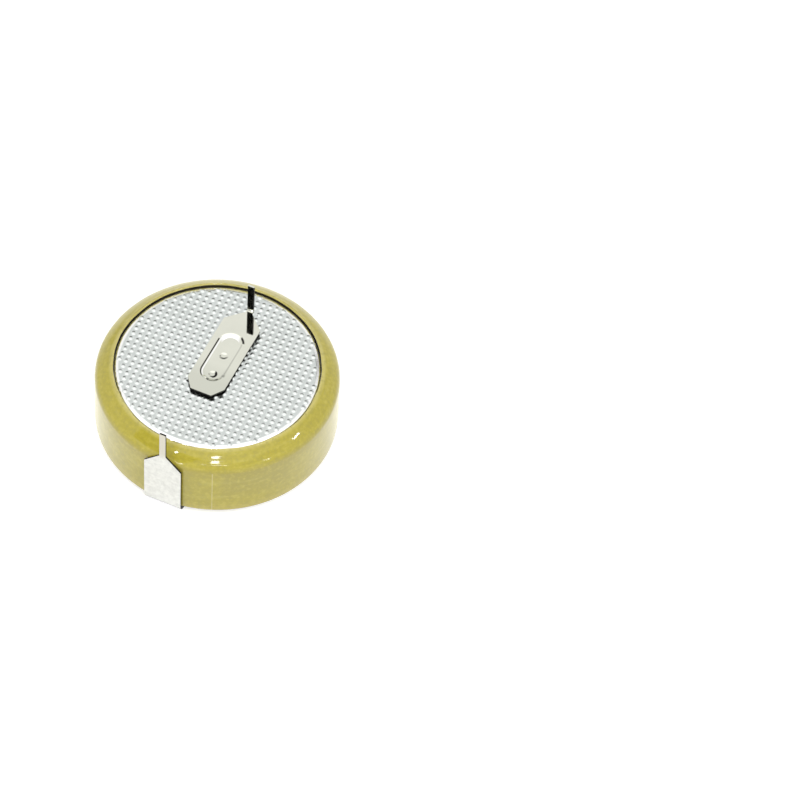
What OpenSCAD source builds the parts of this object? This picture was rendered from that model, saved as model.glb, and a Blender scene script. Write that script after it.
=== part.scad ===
// Lithium coin cell with two solder tabs, in a shrink sleeve.
// Millimetres. +Z is up and the cell lies on its positive side.
// X = Y = 0 is the cell's axis and Z = 0 the underside of the positive tab's strip.
// The positive tab runs out to -Y and stands up there, the negative pin stands towards +Y.

/* [Cell] */
// Diameter of the bare cell
cell_d = 24.5; // [23.5:0.1:26]
// Height of the bare cell, from the can's base to the negative face
cell_h = 7.7; // [7:0.1:9]

/* [Can] */
// Sheet thickness of the can
can_t = 0.25; // [0.2:0.01:0.3]
// Outside radius of the can's base corner
base_round = 0.35; // [0.32:0.01:0.6]
// How far below the negative face the side wall starts to curl in
crimp_below = 1.55; // [1.5:0.01:1.65]
// Radius of the shoulder, where it leaves the side wall
crimp_turn = 1.05; // [1:0.01:1.1]
// Flatter radius of the shoulder, up to the lip
crimp_sweep = 4.6; // [4.4:0.05:4.8]
// How far the shoulder turns before the flatter radius, in degrees
crimp_angle = 45; // [44:0.5:46]

/* [Cap] */
// Distance of the raised negative face's edge from the cell's side
cap_inset = 1.7; // [1.65:0.01:1.8]
// Sheet thickness of the cap
cap_t = 0.25; // [0.2:0.01:0.28]
// Outside radius of the face's edge
cap_edge_r = 0.35; // [0.3:0.01:0.45]

/* [Gasket] */
// Thickness of the gasket's wall between can and cap
gasket_t = 0.4; // [0.3:0.01:0.45]
// Thickness of the gasket's foot under the cap's rim
gasket_foot = 0.5; // [0.3:0.01:0.8]
// Height of the gasket's inner wall over its foot
gasket_inner_h = 1.2; // [0.6:0.1:2]
// Thickness of the gasket's inner wall
gasket_inner_t = 0.35; // [0.2:0.01:0.5]
// Width of the gasket's ring seen between lip and cap
lip_gap = 0.4; // [0.38:0.01:0.5]
// How far the gasket's end lies below the lip
gasket_sunk = 0.12; // [0.08:0.01:0.2]

/* [Electrodes] */
// Width of the cap's flat inside that the lithium disc leaves free
lithium_margin = 0.25; // [0.1:0.05:1.5]
// Thickness of the lithium disc
lithium_t = 1.9; // [1.4:0.05:2.4]
// Clearance between the separator and the cap's skirt
separator_gap = 0.75; // [0.4:0.05:1]
// Thickness of the separator
separator_t = 0.25; // [0.1:0.01:0.4]
// Clearance between the pressed cathode pellet and the gasket
pellet_gap = 1.1; // [0.9:0.05:1.5]
// Sheet thickness of the cathode ring
ring_t = 0.2; // [0.1:0.01:0.3]
// Height of the cathode ring
ring_h = 1.6; // [1:0.1:2.4]

/* [Sleeve] */
// Thickness of the shrink sleeve
sleeve_t = 0.1; // [0.06:0.01:0.12]
// How far the sleeve's edge overhangs the can's lip
sleeve_over_lip = 0.32; // [0.2:0.01:0.37]
// How far the sleeve reaches in under the base
sleeve_under = 1.7; // [1.2:0.05:2]

/* [Tabs] */
// Sheet thickness of the tabs
tab_t = 0.2; // [0.15:0.01:0.25]
// Width of the tabs
tab_w = 4.05; // [3.8:0.05:4.6]
// Width of a tab's inner end, between its cut corners
tab_end_w = 2.25; // [1.6:0.05:3]
// Length of a tab's cut corners
tab_end_run = 1.25; // [0.6:0.05:1.4]
// Width of the solder pins
pin_w = 0.7; // [0.5:0.05:1]
// Depth of the pressed pocket that is welded to the cell
pocket_depth = 0.25; // [0.2:0.01:0.35]
// Width of the pocket at its mouth
pocket_w = 2.65; // [2.3:0.05:2.8]
// Width of the pocket's sloped wall
pocket_run = 0.42; // [0.3:0.01:0.5]
// Diameter of a weld mark
weld_d = 0.8; // [0.5:0.05:1]
// Depth of a weld mark
weld_depth = 0.08; // [0.04:0.01:0.12]

/* [Positive tab] */
// How far the strip reaches past the cell's axis
pos_reach = 2.1; // [1.5:0.1:3]
// Where the pocket starts, from the cell's axis
pos_pocket_at = 0.97; // [0.8:0.01:1.2]
// Length of the positive pocket at its mouth
pos_pocket_l = 6.85; // [6.6:0.05:7]
// Distances of the two weld marks from the cell's axis
pos_welds = [3.55, 5.89]; // [2:0.01:7]
// Inside radius of the bend under the cell's edge
pos_bend_r = 0.75; // [0.72:0.01:0.78]
// Clearance between the upright and the sleeve
upright_gap = 0.08; // [0.06:0.01:0.15]
// How far the upright's shoulders start below the negative face
upright_below = 1.65; // [1.5:0.05:2.6]
// Height of the positive pin's tip over the negative face
pos_pin_over = 3.5; // [2:0.1:4.5]

/* [Negative tab] */
// How far the tab reaches past the cell's axis
neg_reach = 3.95; // [3.7:0.05:4.5]
// Where the pocket starts, on the other side of the axis
neg_pocket_at = -2.3; // [-2.5:0.1:-1.8]
// Length of the negative pocket at its mouth
neg_pocket_l = 6.6; // [5.6:0.1:7]
// Distances of the two weld marks from the cell's axis
neg_welds = [-1.2, 1.4]; // [-2:0.01:4]
// Where the shoulders start, from the cell's axis
neg_shoulder_at = 5.7; // [5.4:0.1:5.8]
// Inside radius of the fold at the pin's foot
neg_bend_r = 0.2; // [0.15:0.01:0.3]
// Distance of the negative pin's outer face from the cell's axis
neg_pin_out = 7.85; // [7.8:0.05:8.6]
// Height of the negative pin's tip over the negative face
neg_pin_over = 4.25; // [3.5:0.05:5.5]

/* [Hidden] */
$fn = 72;
eps = 0.05;

// Levels
base_z = tab_t + pocket_depth;
face_z = base_z + cell_h;
side_top_z = face_z - crimp_below;

// Radii
can_r = cell_d / 2;
cap_r = can_r - cap_inset;
lip_r = cap_r + lip_gap;
skirt_r = can_r - can_t - gasket_t;
skirt_in_r = skirt_r - cap_t;
gasket_bore_r = skirt_in_r - gasket_inner_t;
pellet_r = gasket_bore_r - pellet_gap;
separator_r = skirt_in_r - separator_gap;
lithium_r = cap_r - cap_edge_r - lithium_margin;

// The shoulder's two arcs: a turn off the side wall, then a sweep round the crown
turn = [can_r - crimp_turn, side_top_z];
crown = turn - (crimp_sweep - crimp_turn) * [cos(crimp_angle), sin(crimp_angle)];

// Height of the shoulder at radius r, its face moved out by grow
function shoulder_z(r, grow) = crown.y + sqrt(pow(crimp_sweep + grow, 2) - pow(r - crown.x, 2));

// Levels of what the can holds
floor_z = base_z + can_t;
skirt_z = floor_z + gasket_foot;
lithium_z = face_z - cap_t - lithium_t;
separator_z = lithium_z - separator_t;
pellet_h = separator_z - floor_z;

// Tab measures
upright_out = can_r + sleeve_t + upright_gap + tab_t;
shoulder_run = (tab_w - pin_w) / 2;

sleeve_colour = [0.78, 0.71, 0.33];
can_colour = [0.74, 0.74, 0.71];
cap_colour = [0.82, 0.84, 0.82];
tab_colour = [0.88, 0.87, 0.82];

// The can's filled half section, every face moved out by grow
module cell_form(grow)
{
    corner = max(base_round, -grow);
    reach = 2 * crimp_sweep / crimp_turn;
    translate([0, base_z + corner])
        square([can_r + grow, side_top_z - base_z - corner]);
    if (base_round + grow > 0) {
        translate([0, base_z - grow])
            square([can_r - base_round, base_round + grow]);
        translate([can_r - base_round, base_z + base_round])
            circle(r = base_round + grow);
    }
    translate([0, side_top_z - eps])
        square([crown.x, crown.y + crimp_sweep + grow - side_top_z + eps]);
    translate(turn)
        circle(r = crimp_turn + grow);
    intersection() {
        translate(crown)
            circle(r = crimp_sweep + grow);
        polygon([crown, crown + reach * (turn - crown), [crown.x, crown.y + reach * crimp_sweep]]);
    }
}

// The cap's filled half section, every face moved in by inset
module cap_form(inset)
{
    edge = cap_edge_r - inset;
    translate([0, skirt_z])
        square([skirt_r - inset, side_top_z - skirt_z]);
    intersection() {
        cell_form(-can_t - gasket_t - inset);
        translate([0, side_top_z - eps])
            square([skirt_r, cell_h]);
    }
    translate([0, side_top_z])
        square([cap_r - inset, face_z - cap_edge_r - side_top_z]);
    translate([0, face_z - cap_edge_r - eps])
        square([cap_r - cap_edge_r, edge + eps]);
    translate([cap_r - cap_edge_r, face_z - cap_edge_r])
        circle(r = edge);
}

module positive_can()
{
    color(can_colour)
        rotate_extrude()
            difference() {
                cell_form(0);
                cell_form(-can_t);
                translate([0, side_top_z])
                    square([lip_r, cell_h]);
            }
}

module negative_cap()
{
    color(cap_colour)
        rotate_extrude()
            difference() {
                cap_form(0);
                cap_form(cap_t);
            }
}

module gasket()
{
    end_z = shoulder_z(lip_r, 0) - gasket_sunk;
    end_foot_z = shoulder_z(lip_r, -can_t) - eps;
    color([0.2, 0.2, 0.21])
        rotate_extrude() {
            difference() {
                cell_form(-can_t);
                cap_form(0);
                square([gasket_bore_r, skirt_z + eps]);
                translate([0, skirt_z])
                    square([cap_r, cell_h]);
                translate([0, end_z])
                    square([lip_r, cell_h]);
            }
            translate([gasket_bore_r, floor_z])
                square([gasket_inner_t, gasket_foot + gasket_inner_h]);
            translate([cap_r, end_foot_z])
                square([lip_gap, end_z - end_foot_z]);
        }
}

module cathode_pellet()
{
    color([0.14, 0.14, 0.15])
        translate([0, 0, floor_z])
            cylinder(r = pellet_r, h = pellet_h);
}

// L-shaped ring that holds the pellet central on the can's floor
module cathode_ring()
{
    color([0.66, 0.66, 0.64])
        translate([0, 0, floor_z])
            rotate_extrude()
                translate([pellet_r, 0]) {
                    square([ring_t, ring_h]);
                    square([pellet_gap, ring_t]);
                }
}

module separator()
{
    color([0.93, 0.93, 0.9])
        translate([0, 0, separator_z])
            cylinder(r = separator_r, h = separator_t);
}

module lithium_anode()
{
    color([0.7, 0.72, 0.75])
        translate([0, 0, lithium_z])
            cylinder(r = lithium_r, h = lithium_t);
}

module sleeve()
{
    color(sleeve_colour)
        rotate_extrude()
            difference() {
                cell_form(sleeve_t);
                cell_form(0);
                translate([0, side_top_z])
                    square([lip_r - sleeve_over_lip, cell_h]);
                square([can_r - sleeve_under, side_top_z]);
            }
}

// A flat outline that is the same on both sides, from its right-hand points
module outline(right)
{
    left = [for (i = [len(right) - 1:-1:0]) [-right[i].x, right[i].y]];
    polygon(concat(right, left));
}

// Cut corners of a tab's inner end
function inner_end(at) = [[tab_end_w / 2, at], [tab_w / 2, at + tab_end_run]];

// Shoulders that narrow a tab to its pin
function shoulders(at) = [[tab_w / 2, at], [pin_w / 2, at + shoulder_run]];

// Round-ended solid with sloped walls, from width low_w at z = 0 to high_w at z = h
module sloped_slot(length, low_w, high_w, h)
{
    half = length / 2;
    for (y = [-half, half])
        translate([0, y, 0])
            cylinder(d1 = low_w, d2 = high_w, h = h);
    translate([0, half, 0])
        rotate([90, 0, 0])
            linear_extrude(length)
                outline([[low_w / 2, 0], [high_w / 2, h]]);
}

// A quarter turn of the sheet with inside radius r, from flat along +Y to upright
module fold(at, width, r)
{
    translate([-width / 2, at, tab_t + r])
        rotate([0, 90, 0])
            rotate_extrude(angle = 90)
                translate([r, 0])
                    square([tab_t, width]);
}

// A strip with a pocket pressed up out of it by pocket_depth, open below
module pressed_strip(flat, mouth_l, mouth_at, welds)
{
    slope = pocket_run / pocket_depth;
    skin = 2 * tab_t * tan(atan(pocket_depth / pocket_run) / 2);
    floor_w = pocket_w - 2 * pocket_run;
    boss_h = pocket_depth + tab_t;
    middle = mouth_at + mouth_l / 2;
    difference() {
        union() {
            linear_extrude(tab_t)
                outline(flat);
            translate([0, middle, 0])
                sloped_slot(mouth_l - pocket_w, floor_w + skin + 2 * slope * boss_h,
                            floor_w + skin, boss_h);
        }
        translate([0, middle, -eps])
            sloped_slot(mouth_l - pocket_w, pocket_w + 2 * slope * eps, floor_w,
                        pocket_depth + eps);
        for (at = welds)
            translate([0, at, pocket_depth])
                weld_mark();
    }
}

// The round dent that a welding electrode leaves
module weld_mark()
{
    ball = (pow(weld_d / 2, 2) + pow(weld_depth, 2)) / (2 * weld_depth);
    translate([0, 0, weld_depth - ball])
        sphere(r = ball);
}

// Strip under the can's base, folded up past its side to the positive pin
module positive_tab()
{
    fold_at = upright_out - tab_t - pos_bend_r;
    color(tab_colour)
        rotate([0, 0, 180]) {
            pressed_strip(concat(inner_end(-pos_reach), [[tab_w / 2, fold_at]]),
                          pos_pocket_l, pos_pocket_at, pos_welds);
            fold(fold_at, tab_w, pos_bend_r);
            translate([0, upright_out, 0])
                rotate([90, 0, 0])
                    linear_extrude(tab_t)
                        outline(concat([[tab_w / 2, tab_t + pos_bend_r]],
                                       shoulders(face_z - upright_below),
                                       [[pin_w / 2, face_z + pos_pin_over]]));
        }
}

// Strip on the negative face, narrowed and folded up to the negative pin
module negative_tab()
{
    fold_at = neg_pin_out - tab_t - neg_bend_r;
    strip_z = face_z + pocket_depth;
    color(tab_colour) {
        translate([0, 0, strip_z + tab_t])
            mirror([0, 0, 1])
                pressed_strip(concat(inner_end(-neg_reach), shoulders(neg_shoulder_at),
                                     [[pin_w / 2, fold_at]]),
                              neg_pocket_l, neg_pocket_at, neg_welds);
        translate([0, 0, strip_z])
            fold(fold_at, pin_w, neg_bend_r);
        translate([-pin_w / 2, neg_pin_out - tab_t, strip_z + tab_t + neg_bend_r])
            cube([pin_w, tab_t, neg_pin_over - pocket_depth - tab_t - neg_bend_r]);
    }
}

positive_can();
negative_cap();
gasket();
cathode_pellet();
cathode_ring();
separator();
lithium_anode();
sleeve();
positive_tab();
negative_tab();
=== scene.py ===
import math

import bpy
from mathutils import Matrix, Vector


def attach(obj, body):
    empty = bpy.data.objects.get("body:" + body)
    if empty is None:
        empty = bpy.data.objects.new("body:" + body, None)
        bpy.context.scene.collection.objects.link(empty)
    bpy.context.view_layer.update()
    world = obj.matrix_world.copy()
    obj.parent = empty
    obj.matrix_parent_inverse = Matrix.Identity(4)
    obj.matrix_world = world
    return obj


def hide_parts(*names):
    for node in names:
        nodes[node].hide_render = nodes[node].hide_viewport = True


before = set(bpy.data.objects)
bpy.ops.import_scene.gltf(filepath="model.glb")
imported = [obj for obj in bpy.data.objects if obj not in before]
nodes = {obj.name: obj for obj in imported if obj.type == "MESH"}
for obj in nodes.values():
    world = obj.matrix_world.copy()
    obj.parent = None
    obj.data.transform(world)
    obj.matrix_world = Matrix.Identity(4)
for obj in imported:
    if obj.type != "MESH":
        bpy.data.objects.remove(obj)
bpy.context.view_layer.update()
MM = 0.001

# The cell's sizes in millimetres, as the CAD model has them
CAN_R = 12.25
BASE_Z = 0.45
BASE_ROUND = 0.35
FACE_Z = 8.15
TURN = (11.2, 6.6)
TURN_R = 1.05
SWEEP_R = 4.6
SWEEP_ANGLE = math.radians(45)
CROWN = (
    TURN[0] - (SWEEP_R - TURN_R) * math.cos(SWEEP_ANGLE),
    TURN[1] - (SWEEP_R - TURN_R) * math.sin(SWEEP_ANGLE),
)
FILM_T = 0.1
FILM_TOP_R = 10.63
FILM_BASE_R = 10.55
FILM_INSIDE = 0.004
CREASE_AT = math.radians(-66.8)
EDGE_AT = math.radians(-65.4)
# Level direction along which the darker patch on the film's side lies
PATCH_TOWARD = (math.cos(math.radians(24.6)), math.sin(math.radians(24.6)))
FREE_EDGE_CURL = (
    (-0.04, -0.015), (-0.07, -0.055), (-0.085, -0.12), (-0.08, -0.19), (-0.055, -0.235), (-0.02, -0.21)
)
DRAG_LENGTH = 1.9
MERGE_WITHIN = 0.0005
CAP_R = 10.55
CAP_EDGE_R = 0.35
PLAIN_RIM_R = 9.88

# The negative tab's strip: its sides, the pocket pressed into it and the welds
TAB_UNDER = FACE_Z + 0.25
TAB_TOP = FACE_Z + 0.465
POCKET_MIDDLE = 1.0
POCKET_HALF_L = 1.975
WELD_R = 0.36
NEAR_WELD = -1.2
FAR_WELD = 1.4
# Near-black colour of the cut edges, partly their own dull tone and partly painted shade of the gaps beside
# them; also used for the painted shade under the strip and in the pocket's crease
SHEARED_AND_SHADE = (0.035, 0.033, 0.03)

# The knurl pressed into the negative face
KNURL_PITCH = 0.714
KNURL_TURN = math.radians(3)
KNURL_PHASE = (-0.25, -0.04)
KNURL_RISE = 0.078
KNURL_FOOT = 0.33
KNURL_REACH = 10.0
KNURL_SINK = 0.002
KNURL_SQUARE = 2.6
UNDER_TAB = (1.1, -2.2, 4.2)


# Small tools
def mesh_object(name, verts, faces, material, smooth=True):
    """A mesh piece from points in millimetres."""
    mesh = bpy.data.meshes.new(name)
    mesh.from_pydata([(x * MM, y * MM, z * MM) for x, y, z in verts], [], faces)
    mesh.validate()
    mesh.polygons.foreach_set("use_smooth", [smooth] * len(mesh.polygons))
    mesh.materials.append(material)
    obj = bpy.data.objects.new(name, mesh)
    bpy.context.scene.collection.objects.link(obj)
    return obj


def flat_sheet(name, half_w, half_h, z, material):
    """A level rectangle, in millimetres."""
    verts = [(-half_w, -half_h, z), (half_w, -half_h, z), (half_w, half_h, z), (-half_w, half_h, z)]
    return mesh_object(name, verts, [(0, 1, 2, 3)], material, smooth=False)


def set_material(obj, material):
    """Gives the whole piece one material."""
    obj.data.materials.clear()
    obj.data.materials.append(material)


class Material:
    """A node material built round one Principled shader."""

    def __init__(self, name, **values):
        self.mat = bpy.data.materials.new(name)
        self.mat.use_nodes = True
        self.tree = self.mat.node_tree
        self.shader = self.tree.nodes["Principled BSDF"]
        for key, value in values.items():
            self.shader.inputs[key].default_value = value
        self.coords = self.tree.nodes.new("ShaderNodeTexCoord").outputs["Object"]
        self.bump = None

    def link(self, source, target):
        self.tree.links.new(source, target)

    def scaled(self, scale):
        """Object coordinates times a scale for each axis."""
        node = self.tree.nodes.new("ShaderNodeMapping")
        node.inputs["Scale"].default_value = scale
        self.link(self.coords, node.inputs["Vector"])
        return node.outputs["Vector"]

    def noise(self, per_mm, detail=3.0, roughness=0.55, stretch=(1, 1, 1)):
        """Noise with about per_mm features in a millimetre."""
        node = self.tree.nodes.new("ShaderNodeTexNoise")
        node.inputs["Scale"].default_value = per_mm / MM
        node.inputs["Detail"].default_value = detail
        node.inputs["Roughness"].default_value = roughness
        self.link(self.scaled(stretch), node.inputs["Vector"])
        return node.outputs["Fac"]

    def ramp(self, value, low, high, low_out, high_out):
        """Value mapped from low..high to low_out..high_out, clamped."""
        node = self.tree.nodes.new("ShaderNodeMapRange")
        node.inputs["From Min"].default_value = low
        node.inputs["From Max"].default_value = high
        node.inputs["To Min"].default_value = low_out
        node.inputs["To Max"].default_value = high_out
        self.link(value, node.inputs["Value"])
        return node.outputs["Result"]

    def maths(self, operation, first, second=0.0):
        """One arithmetic step on sockets or numbers."""
        node = self.tree.nodes.new("ShaderNodeMath")
        node.operation = operation
        for socket, value in zip(node.inputs, (first, second)):
            if isinstance(value, (int, float)):
                socket.default_value = value
            else:
                self.link(value, socket)
        return node.outputs[0]

    def place(self):
        """Object coordinates in millimetres, one socket for each axis."""
        node = self.tree.nodes.new("ShaderNodeSeparateXYZ")
        self.link(self.scaled((1 / MM, 1 / MM, 1 / MM)), node.inputs[0])
        return node.outputs

    def length(self, x, y):
        """Length of a level vector, such as the distance from the cell's axis."""
        return self.maths("SQRT", self.maths("ADD", self.maths("MULTIPLY", x, x), self.maths("MULTIPLY", y, y)))

    def along(self, x, y, toward):
        """Distance along a level direction, from sockets for x and y."""
        return self.maths("ADD", self.maths("MULTIPLY", x, toward[0]), self.maths("MULTIPLY", y, toward[1]))

    def gap(self, value, middle):
        """Distance of a value from the middle of a line."""
        return self.maths("ABSOLUTE", self.maths("SUBTRACT", value, middle))

    def drag_noise(self, per_mm):
        """Noise drawn out round the axis, as film that shrinks onto a cylinder shows."""
        x, y, z = self.place()
        turn = self.maths("ARCTAN2", y, x)
        joined = self.tree.nodes.new("ShaderNodeCombineXYZ")
        self.link(self.maths("MULTIPLY", turn, DRAG_LENGTH), joined.inputs[0])
        self.link(self.maths("SUBTRACT", z, self.length(x, y)), joined.inputs[1])
        node = self.tree.nodes.new("ShaderNodeTexNoise")
        node.inputs["Scale"].default_value = per_mm
        node.inputs["Detail"].default_value = 4
        node.inputs["Roughness"].default_value = 0.6
        self.link(joined.outputs[0], node.inputs["Vector"])
        return node.outputs["Fac"]

    def facing(self):
        """Size of the surface normal along each axis."""
        node = self.tree.nodes.new("ShaderNodeSeparateXYZ")
        self.link(self.tree.nodes.new("ShaderNodeNewGeometry").outputs["Normal"], node.inputs[0])
        return [self.maths("ABSOLUTE", out) for out in node.outputs]

    def mix(self, factor, first, second):
        """A colour between two, each a colour or a socket."""
        node = self.tree.nodes.new("ShaderNodeMix")
        node.data_type = "RGBA"
        self.link(factor, node.inputs["Factor"])
        for socket, colour in ((node.inputs[6], first), (node.inputs[7], second)):
            if isinstance(colour, tuple):
                socket.default_value = (*colour, 1)
            else:
                self.link(colour, socket)
        return node.outputs[2]

    def add_bump(self, height, depth_mm):
        """Adds relief of about depth_mm from a height socket."""
        node = self.tree.nodes.new("ShaderNodeBump")
        node.inputs["Strength"].default_value = 1.0
        node.inputs["Distance"].default_value = depth_mm * MM
        self.link(height, node.inputs["Height"])
        if self.bump:
            self.link(self.bump, node.inputs["Normal"])
        self.bump = node.outputs["Normal"]
        self.link(self.bump, self.shader.inputs["Normal"])

    def colour(self, socket):
        self.link(socket, self.shader.inputs["Base Color"])

    def roughness(self, socket):
        self.link(socket, self.shader.inputs["Roughness"])


# Materials
def metal(name, colour, darker, rough, grain=(1, 1, 1), grain_depth=0.0012, stains=0.35, accents=()):
    """Sheet metal with a fine grain, faint stains and small changes of gloss.

    Each accent is the part of the surface that it covers, its colour and its least roughness; some accents are
    painted highlight or painted shade.
    """
    m = Material(name, Metallic=1.0)
    stain = m.noise(stains, detail=4)
    fine = m.noise(9.0, detail=3, stretch=grain)
    tone = m.mix(m.ramp(stain, 0.35, 0.7, 0.0, 0.6), colour, darker)
    gloss = m.ramp(fine, 0.3, 0.7, rough - min(0.05, rough * 0.4), rough + min(0.07, rough * 0.5))
    for covers, accent, least in accents:
        part = covers(m)
        tone = m.mix(part, tone, accent)
        gloss = m.maths("MAXIMUM", gloss, m.maths("MULTIPLY", part, least))
    m.colour(tone)
    m.roughness(gloss)
    m.add_bump(fine, grain_depth)
    return m


def above(m, value, limit):
    return m.maths("GREATER_THAN", value, limit)


def below(m, value, limit):
    return m.maths("LESS_THAN", value, limit)


def both(m, first, second):
    return m.maths("MULTIPLY", first, second)


def either(m, first, second):
    return m.maths("MAXIMUM", first, second)


def negative_tab_edges_and_shade(m):
    """Cut edges, near black partly as their own dull tone and partly as painted shade, the underside painted
    dark as shade under the strip, and the painted shade in the pocket's crease: upright faces of the flat strip,
    side faces of the pin.
    """
    x, y, z = m.facing()
    height = m.place()[2]
    strip = both(m, below(m, z, 0.35), below(m, height, TAB_TOP))
    pin = both(m, above(m, x, 0.7), above(m, height, TAB_TOP))
    level = both(m, above(m, height, TAB_UNDER - 0.01), below(m, height, TAB_UNDER + 0.05))
    # painted shade: the strip's underside, where shade falls between strip and cap
    under = both(m, above(m, z, 0.9), level)
    return either(m, either(m, pocket_crease_shade(m), under), either(m, strip, pin))


def pocket_line(m):
    """Place in mm, distance from the pocket's middle line, and where the upper side of the strip is."""
    x, y, z = m.place()
    past = m.maths("MAXIMUM", m.maths("SUBTRACT", m.gap(y, POCKET_MIDDLE), POCKET_HALF_L), 0.0)
    return x, y, z, m.length(x, past), above(m, z, TAB_UNDER + 0.05)


def pocket_crease_shade(m):
    """Painted shade in the crease along the pocket's mouth: sharp at the left and the far corner, else faint."""
    x, y, z, radius, top = pocket_line(m)
    away = m.gap(radius, 1.3)
    left = both(m, m.ramp(x, -0.95, -0.7, 1.0, 0.0), below(m, y, 3.1))
    left = both(m, m.ramp(away, 0.04, 0.09, 1.0, 0.0), left)
    corner = both(m, above(m, x, 0.7), above(m, y, 3.45))
    corner = both(m, m.ramp(away, 0.06, 0.15, 1.0, 0.0), corner)
    right = both(m, m.ramp(x, 0.0, 0.5, 0.0, 0.3), below(m, y, 3.4))
    faint = both(m, m.ramp(m.gap(radius, 1.12), 0.03, 0.15, 0.7, 0.0), right)
    faint = both(m, faint, above(m, z, FACE_Z + 0.15))
    return either(m, both(m, either(m, left, corner), top), faint)


def painted_highlight_lines(m):
    """Painted highlights: bright lines along the pocket's left and far wall, and on the pin's rolled corners."""
    x, y, z, radius = pocket_line(m)[:4]
    left = both(m, m.ramp(x, -0.95, -0.6, 1.0, 0.0), below(m, y, 3.1))
    left = both(m, left, m.ramp(m.gap(radius, 1.15), 0.03, 0.08, 1.0, 0.0))
    far = both(m, m.ramp(y, 2.8, 3.2, 0.0, 1.0), m.ramp(x, 0.45, 0.75, 1.0, 0.0))
    far = both(m, far, m.ramp(m.gap(radius, 1.05), 0.14, 0.2, 1.0, 0.0))
    side = m.facing()[0]
    pin = both(m, both(m, above(m, side, 0.3), below(m, side, 0.7)), above(m, z, FACE_Z + 0.7))
    return either(m, both(m, either(m, left, far), above(m, z, FACE_Z + 0.02)), pin)


def weld_shade_crescent(m, at, toward):
    """Painted shade: a dark crescent on one side of a weld's dent."""
    x, y, z = m.place()
    y = m.maths("SUBTRACT", y, at)
    band = m.ramp(m.gap(m.length(x, y), WELD_R), 0.1, 0.16, 1.0, 0.0)
    side = m.ramp(m.along(x, y, toward), 0.08, 0.2, 0.0, 1.0)
    return both(m, both(m, band, side), above(m, z, FACE_Z + 0.02))


def painted_weld_shade(m):
    """Painted shade in the dents of the two spot welds."""
    near = weld_shade_crescent(m, NEAR_WELD, (1.0, 0.0))
    far = weld_shade_crescent(m, FAR_WELD, (0.42, -0.91))
    return either(m, near, m.maths("MULTIPLY", far, 0.4))


def near_end(m):
    """The strip's near end, which is a little duller."""
    y, z = m.place()[1:3]
    return both(m, m.ramp(y, 0.2, -2.2, 0.0, 0.8), above(m, z, FACE_Z + 0.1))


def positive_tab_edges_and_shade(m):
    """Cut edges, near black partly as their own dull tone and partly as painted shade: all faces to the sides,
    the shoulders and the two ends.
    """
    x, y, z = m.facing()
    out, height = m.place()[1:3]
    ends = both(m, above(m, z, 0.6), above(m, height, 5.0))
    inner = both(m, below(m, z, 0.35), both(m, below(m, height, 0.35), above(m, out, -11.0)))
    return either(m, above(m, x, 0.6), either(m, ends, inner))


def axis_distance(m):
    """Distance from the cell's axis in mm."""
    x, y = m.place()[:2]
    return m.length(x, y)


def plain_rim(m):
    """The cap's rim outside the knurl, which the press leaves smooth and bright."""
    return m.ramp(axis_distance(m), 9.9, 10.05, 0.0, 1.0)


def bend_painted_shade(m):
    """The bend's lower part, painted darker as shade where the bend curves down."""
    y, z = m.place()[1:3]
    return both(m, m.ramp(z, 0.8, 0.45, 0.0, 0.85), below(m, y, -11.4))


def pin_part(m):
    """The positive tab's narrow upper part."""
    return m.ramp(m.place()[2], 7.6, 8.6, 0.0, 1.0)


cap_metal = metal(
    "cap_metal", (0.675, 0.71, 0.69), (0.595, 0.625, 0.605), 0.18,
    accents=((plain_rim, (0.97, 0.97, 0.95), 0.0),)
)
knurl_metal = metal("knurl_metal", (0.74, 0.77, 0.745), (0.68, 0.71, 0.685), 0.18)
can_metal = metal("can_metal", (0.6, 0.6, 0.57), (0.52, 0.52, 0.5), 0.3, grain=(0.12, 1, 1))
tab_metal = metal(
    "tab_metal", (0.76, 0.765, 0.67), (0.7, 0.705, 0.615), 0.055, grain=(1, 0.08, 1), grain_depth=0.0001,
    accents=(
        (near_end, (0.63, 0.64, 0.555), 0.0),
        # painted highlights along the pocket's walls and the pin's corners
        (painted_highlight_lines, (1.0, 1.0, 0.98), 0.0),
        # cut edges near black, partly painted shade, together with the painted shade under the strip and in the
        # pocket's crease
        (negative_tab_edges_and_shade, SHEARED_AND_SHADE, 0.5),
        # painted shade in the weld dents
        (painted_weld_shade, (0.025, 0.024, 0.022), 0.3),
    )
)
upright_metal = metal(
    "upright_metal", (0.71, 0.71, 0.67), (0.52, 0.52, 0.49), 0.42, grain=(1, 1, 0.3), stains=2.5,
    accents=(
        (pin_part, (0.58, 0.555, 0.475), 0.0),
        # painted shade on the bend's lower part
        (bend_painted_shade, (0.4, 0.4, 0.42), 0.0),
        # cut edges near black, partly painted shade
        (positive_tab_edges_and_shade, SHEARED_AND_SHADE, 0.5),
    )
)
ring_metal = metal("ring_metal", (0.55, 0.55, 0.53), (0.5, 0.5, 0.48), 0.35)
lithium_metal = metal("lithium_metal", (0.5, 0.52, 0.55), (0.35, 0.36, 0.4), 0.5)


def add_cap_rim(m):
    """Lets the plain rim fall away a little, as a pressed cap's does."""
    past = m.maths("MAXIMUM", m.maths("SUBTRACT", axis_distance(m), PLAIN_RIM_R), 0.0)
    m.add_bump(m.maths("MULTIPLY", past, -0.24), 1.0)


add_cap_rim(cap_metal)


def matte(name, colour, darker, rough, per_mm, depth):
    """A dull plastic, pressed powder or felt with a grain."""
    m = Material(name)
    grain = m.noise(per_mm, detail=4)
    m.colour(m.mix(grain, colour, darker))
    m.roughness(m.ramp(grain, 0.3, 0.7, rough - 0.08, rough + 0.08))
    m.add_bump(grain, depth)
    return m


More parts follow.
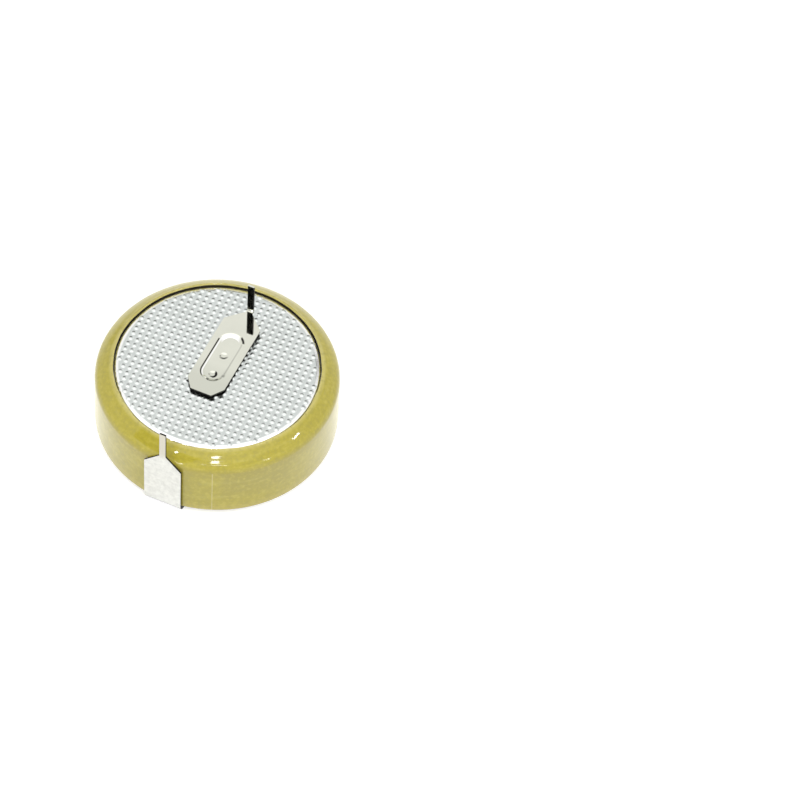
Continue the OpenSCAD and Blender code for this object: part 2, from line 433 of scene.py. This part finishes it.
gasket_plastic = matte("gasket_plastic", (0.045, 0.036, 0.018), (0.025, 0.021, 0.014), 0.5, 4.0, 0.004)
cathode_mix = matte("cathode_mix", (0.02, 0.02, 0.021), (0.009, 0.009, 0.01), 0.85, 8.0, 0.02)
separator_felt = matte("separator_felt", (0.85, 0.85, 0.8), (0.7, 0.7, 0.66), 0.9, 10.0, 0.03)


def film_height_tones_and_shade(m, base, z):
    """Tones that change with the height: pale foot, painted shade as a dark line at the foot where the cell's
    shadow falls, yellow shoulder, and painted shade as an olive band at the turn, standing in for the film's
    reflection of the dark surroundings.
    """
    base = m.mix(m.ramp(z, 1.7, 0.85, 0.0, 0.4), base, (0.55, 0.45, 0.11))
    # painted shade: a dark line at the foot, where the cell's shadow falls
    base = m.mix(m.ramp(z, 0.78, 0.6, 0.0, 0.6), base, (0.22, 0.18, 0.06))
    base = m.mix(m.ramp(z, 6.2, 7.2, 0.0, 0.55), base, (0.49, 0.42, 0.048))
    # painted shade: a darker olive band at the turn, standing in for the film's reflection of the dark
    # surroundings
    band = both(m, m.ramp(z, 7.3, 6.7, 0.0, 0.7), m.ramp(z, 5.5, 6.1, 0.0, 1.0))
    return m.mix(band, base, (0.38, 0.315, 0.042))


def darker_side_patch(m, x, y, z):
    """A darker patch on the film's side, beside the crease."""
    along = m.along(x, y, PATCH_TOWARD)
    wide = both(m, m.ramp(along, 0.2, 1.0, 0.0, 0.6), m.ramp(along, 9.0, 6.5, 0.0, 1.0))
    high = both(m, m.ramp(z, 2.4, 3.6, 0.0, 1.0), below(m, z, TURN[1]))
    return both(m, both(m, wide, high), below(m, y, 0.0))


def crease_line(m, x, y, z):
    """The crease that runs down the film's side."""
    across = m.gap(m.along(x, y, (math.sin(CREASE_AT), -math.cos(CREASE_AT))), 0.0)
    side = both(m, below(m, z, TURN[1]), above(m, x, 0.0))
    return both(m, m.ramp(across, 0.02, 0.07, 0.36, 0.0), side)


def film_material():
    """Olive-yellow shrink film, glossy, with cloudy changes of tone and faint drag lines."""
    m = Material("shrink_film", **{
        "IOR": 1.5, "Sheen Weight": 0.9, "Sheen Roughness": 0.34, "Sheen Tint": (1, 0.96, 0.72, 1)
    })
    x, y, z = m.place()
    cloud = m.noise(0.45, detail=4, roughness=0.6)
    mottle = m.noise(2.2, detail=3)
    grit = m.noise(2.6, detail=3)
    drag = m.drag_noise(1.6)
    base = m.mix(m.ramp(cloud, 0.35, 0.68, 0.0, 1.0), (0.45, 0.382, 0.045), (0.395, 0.338, 0.041))
    base = m.mix(m.ramp(mottle, 0.45, 0.75, 0.0, 0.35), base, (0.47, 0.405, 0.065))
    # paler free edge: partly the film's own tone, partly painted sheen standing in for the bright grazing
    # reflection along the lip
    free_edge_and_sheen = both(m, m.ramp(m.length(x, y), FILM_TOP_R, FILM_TOP_R + 0.35, 0.8, 0.0), above(m, z, 5.0))
    base = m.mix(free_edge_and_sheen, base, (0.86, 0.78, 0.4))
    base = film_height_tones_and_shade(m, base, z)
    base = m.mix(darker_side_patch(m, x, y, z), base, (0.36, 0.305, 0.06))
    base = m.mix(m.ramp(grit, 0.5, 0.7, 0.0, 0.6), base, (0.36, 0.315, 0.06))
    base = m.mix(m.ramp(grit, 0.5, 0.3, 0.0, 0.5), base, (0.56, 0.48, 0.085))
    base = m.mix(crease_line(m, x, y, z), base, (0.8, 0.75, 0.45))
    base = m.mix(m.ramp(drag, 0.45, 0.75, 0.0, 0.5), base, (0.38, 0.32, 0.034))
    base = m.mix(m.ramp(drag, 0.44, 0.28, 0.0, 0.4), base, (0.52, 0.455, 0.1))
    m.colour(base)
    m.roughness(m.ramp(mottle, 0.3, 0.7, 0.04, 0.09))
    m.add_bump(m.noise(0.8, detail=2), 0.008)
    m.add_bump(drag, 0.0025)
    return m


film = film_material()


# The cap, can and what they hold keep their CAD solids
for node, look in (
    ("positive_can", can_metal),
    ("negative_cap", cap_metal),
    ("gasket", gasket_plastic),
    ("cathode_pellet", cathode_mix),
    ("cathode_ring", ring_metal),
    ("separator", separator_felt),
    ("lithium_anode", lithium_metal),
    ("positive_tab", upright_metal),
    ("negative_tab", tab_metal),
):
    set_material(nodes[node], look.mat)


def soften_edges(obj, width_mm, angle):
    """Joins the solid's split points and rounds its edges a little."""
    weld = obj.modifiers.new("Join", "WELD")
    weld.merge_threshold = MERGE_WITHIN * MM
    bevel = obj.modifiers.new("Edges", "BEVEL")
    bevel.width = width_mm * MM
    bevel.segments = 3
    bevel.limit_method = "ANGLE"
    bevel.angle_limit = math.radians(angle)
    bevel.harden_normals = False


soften_edges(nodes["positive_tab"], 0.025, 50)
soften_edges(nodes["negative_tab"], 0.035, 27)


# Knurl: raised bumps in a square lattice over the whole negative face
def cap_z(x, y):
    """Height of the cap's outside, flat and then rounded down at its edge."""
    past = min(max(math.hypot(x, y) - (CAP_R - CAP_EDGE_R), 0), CAP_EDGE_R)
    return FACE_Z - CAP_EDGE_R + math.sqrt(CAP_EDGE_R ** 2 - past ** 2)


def knurl_bump(verts, faces, cx, cy):
    """One rounded bump with a slightly square foot, which lies a little below the cap's surface."""
    rings, around = 7, 16
    start = len(verts)
    verts.append((cx, cy, cap_z(cx, cy) - KNURL_SINK + KNURL_RISE))
    for ring in range(1, rings + 1):
        t = ring / rings
        height = KNURL_RISE * 0.5 * (1 + math.cos(math.pi * t)) - KNURL_SINK
        for k in range(around):
            turn = 2 * math.pi * k / around
            a = turn + KNURL_TURN
            powers = abs(math.cos(turn)) ** KNURL_SQUARE + abs(math.sin(turn)) ** KNURL_SQUARE
            square = powers ** (-1 / KNURL_SQUARE)
            r = KNURL_FOOT * t * (1 + (square - 1) * t)
            x, y = cx + r * math.cos(a), cy + r * math.sin(a)
            verts.append((x, y, cap_z(x, y) + height))
    for k in range(around):
        n = (k + 1) % around
        faces.append((start, start + 1 + k, start + 1 + n))
        for ring in range(rings - 1):
            low = start + 1 + ring * around
            high = low + around
            faces.append((low + k, high + k, high + n, low + n))


def build_knurl():
    """All bumps as one piece, except those that the tab's pocket presses flat."""
    verts, faces = [], []
    half, start, end = UNDER_TAB
    count = int(KNURL_REACH / KNURL_PITCH) + 2
    c, s = math.cos(KNURL_TURN), math.sin(KNURL_TURN)
    for i in range(-count, count + 1):
        for j in range(-count, count + 1):
            u = (i + KNURL_PHASE[0]) * KNURL_PITCH
            v = (j + KNURL_PHASE[1]) * KNURL_PITCH
            x, y = c * u - s * v, s * u + c * v
            under_tab = abs(x) < half and start < y < end
            if math.hypot(x, y) <= KNURL_REACH and not under_tab:
                knurl_bump(verts, faces, x, y)
    obj = mesh_object("knurl_bumps", verts, faces, knurl_metal.mat)
    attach(obj, "root")


build_knurl()


# Shrink sleeve: a thin shell with a rounded free edge, shrink ripples and a crease
def arc(centre, r, start, end, steps):
    """Points along an arc, both ends included."""
    angles = [start + (end - start) * k / steps for k in range(steps + 1)]
    return [(centre[0] + r * math.cos(a), centre[1] + r * math.sin(a)) for a in angles]


def film_profile(grow):
    """Half section of the can's outside moved out by grow, from base opening to free edge."""
    points = [(FILM_BASE_R, BASE_Z - grow)]
    corner = (CAN_R - BASE_ROUND, BASE_Z + BASE_ROUND)
    points += arc(corner, BASE_ROUND + grow, math.radians(-90), 0.0, 8)
    points += [(CAN_R + grow, corner[1] + (TURN[1] - corner[1]) * k / 8) for k in range(1, 8)]
    points += arc(TURN, TURN_R + grow, 0.0, SWEEP_ANGLE, 10)
    end = math.acos((FILM_TOP_R - CROWN[0]) / (SWEEP_R + FILM_T))
    points += arc(CROWN, SWEEP_R + grow, SWEEP_ANGLE, end, 12)[1:]
    return points


def sleeve_angles():
    """Even steps round the cell, with finer ones across the crease."""
    steps, reach, fine = 480, 0.02, 8
    angles = [2 * math.pi * k / steps - math.pi for k in range(steps)]
    angles = [a for a in angles if abs(a - CREASE_AT) > reach]
    angles += [CREASE_AT + reach * k / fine for k in range(-fine, fine + 1)]
    return sorted(angles)


def build_sleeve():
    """The film all round. Its free edge curls down a little over the can's lip."""
    outer = film_profile(FILM_T)
    inner = film_profile(FILM_INSIDE)
    top_out = outer[-1]
    rim = [(top_out[0] + dr, top_out[1] + dz) for dr, dz in FREE_EDGE_CURL]
    loop = outer + rim + inner[::-1]
    angles = sleeve_angles()
    n_out = len(outer)
    verts = []
    for a in angles:
        wave = 0.5 + 0.25 * math.sin(23 * a + 0.7) + 0.15 * math.sin(41 * a + 2.1) + 0.1 * math.sin(67 * a)
        edge = 0.035 * math.sin(5 * a + 0.4) + 0.02 * math.sin(11 * a + 1.3) + 0.01 * math.sin(29 * a)
        edge += 0.08 * math.sin(a - EDGE_AT) ** 2
        crease = 0.02 * math.exp(-((a - CREASE_AT) / 0.003) ** 2)
        for k, (r, z) in enumerate(loop):
            if k < n_out:
                level = (z - TURN[1]) / (top_out[1] - TURN[1])
                if level > 0:
                    r -= 0.012 * wave * math.sin(math.pi * min(level, 1))
                elif 1.0 < z < TURN[1]:
                    r += crease
            if k > n_out - 5 and k < n_out + len(rim) + 4:
                near = 1 - min(abs(k - n_out - 2) / 6, 1)
                r -= edge * near
                z += (0.07 + edge * 0.45) * near
            verts.append((r * math.cos(a), r * math.sin(a), z))
    m, count = len(loop), len(angles)
    faces = []
    for i in range(count):
        j = (i + 1) % count
        for k in range(m):
            n = (k + 1) % m
            faces.append((i * m + k, j * m + k, j * m + n, i * m + n))
    obj = mesh_object("shrink_sleeve", verts, faces, film.mat)
    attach(obj, "root")
    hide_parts("sleeve")


build_sleeve()


# Camera: it looks from the photograph's side, and the point AIM falls on the pixel AIM_PIXEL
AZIMUTH = 24.6
ELEVATION = 52.31
ROLL = math.radians(1.196)
DISTANCE = 0.4
AIM = Vector((0, 0, 0.35 * MM))
AIM_PIXEL = (216.69, 414.14)
IMAGE = 800
LENS = 176.26
SENSOR = 36.0


def direction(azimuth, elevation):
    """Unit vector from the cell, with both angles in degrees and azimuth 0 towards -Y."""
    a, e = math.radians(azimuth), math.radians(elevation)
    return Vector((math.sin(a) * math.cos(e), -math.cos(a) * math.cos(e), math.sin(e)))


def build_camera():
    """Turns the camera so that AIM falls on AIM_PIXEL, with the roll about the line to AIM."""
    back = direction(AZIMUTH, ELEVATION)
    right = Vector((math.cos(math.radians(AZIMUTH)), math.sin(math.radians(AZIMUTH)), 0))
    up = back.cross(right)
    c, s = math.cos(ROLL), math.sin(ROLL)
    axes = Matrix((c * right + s * up, c * up - s * right, back)).transposed()
    focal = LENS / SENSOR * IMAGE
    seen = Vector((AIM_PIXEL[0] - IMAGE / 2, IMAGE / 2 - AIM_PIXEL[1], -focal))
    swing = seen.rotation_difference(Vector((0, 0, -1))).to_matrix()
    data = bpy.data.cameras.new("camera")
    data.lens = LENS
    data.sensor_width = SENSOR
    data.clip_start = 0.01
    data.clip_end = 20
    camera = bpy.data.objects.new("camera", data)
    camera.matrix_world = Matrix.Translation(AIM + back * DISTANCE) @ (axes @ swing).to_4x4()
    bpy.context.scene.collection.objects.link(camera)
    bpy.context.scene.camera = camera


build_camera()


# Studio
WORLD_LIGHT = 0.62
PAPER = 0.8
PAPER_GLOW = 0.5
FLOOR_HALF = 3000
FLOOR_Z = -0.01
WHITE = (1, 1, 1, 1)


def background_factor(tree):
    """1 for rays that see the background: from the camera, or off or through glossy things."""
    path = tree.nodes.new("ShaderNodeLightPath")
    seen = path.outputs["Is Camera Ray"]
    for name in ("Is Glossy Ray", "Is Transmission Ray"):
        node = tree.nodes.new("ShaderNodeMath")
        node.operation = "MAXIMUM"
        tree.links.new(seen, node.inputs[0])
        tree.links.new(path.outputs[name], node.inputs[1])
        seen = node.outputs[0]
    return seen


def build_world():
    """An even light on the object, and plain white behind it and in its reflections."""
    world = bpy.data.worlds.new("studio")
    bpy.context.scene.world = world
    world.use_nodes = True
    tree = world.node_tree
    light = tree.nodes["Background"]
    light.inputs["Color"].default_value = WHITE
    light.inputs["Strength"].default_value = WORLD_LIGHT
    white = tree.nodes.new("ShaderNodeBackground")
    white.inputs["Color"].default_value = WHITE
    white.inputs["Strength"].default_value = 1.0
    mix = tree.nodes.new("ShaderNodeMixShader")
    tree.links.new(background_factor(tree), mix.inputs[0])
    tree.links.new(light.outputs[0], mix.inputs[1])
    tree.links.new(white.outputs[0], mix.inputs[2])
    tree.links.new(mix.outputs[0], tree.nodes["World Output"].inputs["Surface"])


def build_floor():
    """A white floor that keeps the object's shadow and meets the white background."""
    mat = bpy.data.materials.new("floor_paper")
    mat.use_nodes = True
    tree = mat.node_tree
    tree.nodes.clear()
    paper = tree.nodes.new("ShaderNodeBsdfDiffuse")
    paper.inputs["Color"].default_value = (PAPER, PAPER, PAPER, 1)
    glow = tree.nodes.new("ShaderNodeEmission")
    glow.inputs["Color"].default_value = WHITE
    strength = tree.nodes.new("ShaderNodeMath")
    strength.operation = "MULTIPLY"
    strength.inputs[1].default_value = PAPER_GLOW
    tree.links.new(background_factor(tree), strength.inputs[0])
    tree.links.new(strength.outputs[0], glow.inputs["Strength"])
    total = tree.nodes.new("ShaderNodeAddShader")
    out = tree.nodes.new("ShaderNodeOutputMaterial")
    tree.links.new(paper.outputs[0], total.inputs[0])
    tree.links.new(glow.outputs[0], total.inputs[1])
    tree.links.new(total.outputs[0], out.inputs["Surface"])
    flat_sheet("floor", FLOOR_HALF, FLOOR_HALF, FLOOR_Z, mat)


def place_facing(obj, azimuth, elevation, distance, at=(0, 0, 0)):
    """Sets an object some metres from the point at (in mm), and turns it to face that point."""
    toward = direction(azimuth, elevation)
    obj.location = Vector(at) * MM + toward * distance
    obj.rotation_mode = "QUATERNION"
    obj.rotation_quaternion = toward.to_track_quat("Z", "Y")
    obj.visible_camera = False


def lamp(name, azimuth, elevation, distance, width, height, radiance, at=(0, 0, 0)):
    """A soft box with the same brightness all over."""
    data = bpy.data.lights.new(name, "AREA")
    data.shape = "RECTANGLE"
    data.size = width
    data.size_y = height
    data.energy = radiance * math.pi * width * height
    obj = bpy.data.objects.new(name, data)
    place_facing(obj, azimuth, elevation, distance, at)
    bpy.context.scene.collection.objects.link(obj)


def card(name, azimuth, elevation, distance, width, height, shade):
    """A grey card that only reflections see, as a studio's dark side does."""
    mat = bpy.data.materials.new(name)
    mat.use_nodes = True
    tree = mat.node_tree
    tree.nodes.clear()
    glow = tree.nodes.new("ShaderNodeEmission")
    glow.inputs["Color"].default_value = (shade, shade, shade, 1)
    out = tree.nodes.new("ShaderNodeOutputMaterial")
    tree.links.new(glow.outputs[0], out.inputs["Surface"])
    obj = flat_sheet(name, width / MM / 2, height / MM / 2, 0, mat)
    place_facing(obj, azimuth, elevation, distance)
    obj.visible_diffuse = False
    obj.visible_shadow = False
    obj.visible_transmission = False


bpy.context.scene.view_settings.view_transform = "Standard"
build_world()
build_floor()

# Name, azimuth, elevation, distance, width, height and radiance of each lamp, in degrees and metres
for values in (
    ("overhead_box_wide", 10, 79, 0.6, 0.9, 0.66, 0.45),
    ("overhead_box", 10, 79, 0.6, 0.7, 0.48, 0.55),
    ("overhead_box_core", 10, 79, 0.6, 0.5, 0.32, 0.6),
    ("front_light_top", 24.6, 58, 0.5, 0.045, 0.045, 24),
    ("front_light_low", 24.6, 47, 0.5, 0.048, 0.06, 24),
    ("front_light_foot", 22.8, 39.5, 0.5, 0.16, 0.008, 18),
    ("left_low_light", -3, 17.6, 0.5, 0.06, 0.045, 28),
    ("left_light", -17.4, 52.7, 0.06, 0.003, 0.006, 26, (0.74, -11.41, 7.91)),
    ("right_low_light", 65, 26, 0.5, 0.04, 0.02, 24),
    ("right_light", 100.5, 39, 0.5, 0.06, 0.035, 26),
    ("right_high_light", 84, 63, 0.5, 0.05, 0.02, 8),
):
    lamp(*values)

# The same for the cards, with their shade of grey
for values in (
    ("dark_front", -24.6, 44.5, 0.6, 0.46, 0.26, 0.0),
    ("dark_back", 204.6, 17.5, 0.6, 0.54, 0.17, 0.0),
    ("dark_right_back", 168, 40, 0.6, 0.11, 0.1, 0.0),
    ("grey_left_back", 236, 8.7, 0.6, 0.16, 0.08, 0.5),
):
    card(*values)
